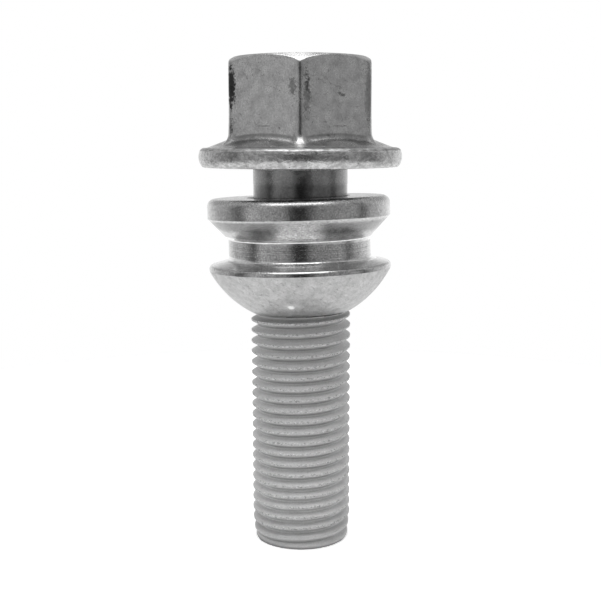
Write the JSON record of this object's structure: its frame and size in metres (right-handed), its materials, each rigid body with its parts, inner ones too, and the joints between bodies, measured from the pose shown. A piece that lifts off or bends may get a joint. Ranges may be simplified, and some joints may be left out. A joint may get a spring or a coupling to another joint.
{
  "type": "wheel bolt",
  "caption": "Wheel bolt with a hexagon head, an integral flange and a loose captive collar whose ball seat centres it in the wheel.",
  "frame": {"origin": "centre of the end face of the thread, on the surface that the bolt stands on", "axes": "+Z along the bolt towards the head, a corner of the hexagon along -Y"},
  "size_m": [0.0276, 0.0276, 0.0667],
  "materials": {
    "zinc_plated_steel": "forged and rolled steel with a thin grey zinc coat, satin",
    "turned_steel": "turned steel with a thin grey zinc coat, shiny on the rims and matte on the ball"
  },
  "bodies": {
    "bolt": {"bolt": "zinc_plated_steel"},
    "collar": {"ball_collar": "turned_steel"}
  },
  "joints": [
    {"name": "collar_slide", "type": "slide", "parent": "bolt", "child": "collar", "axis": [0, 0, 1], "range_m": [0, 0.00363]}
  ]
}
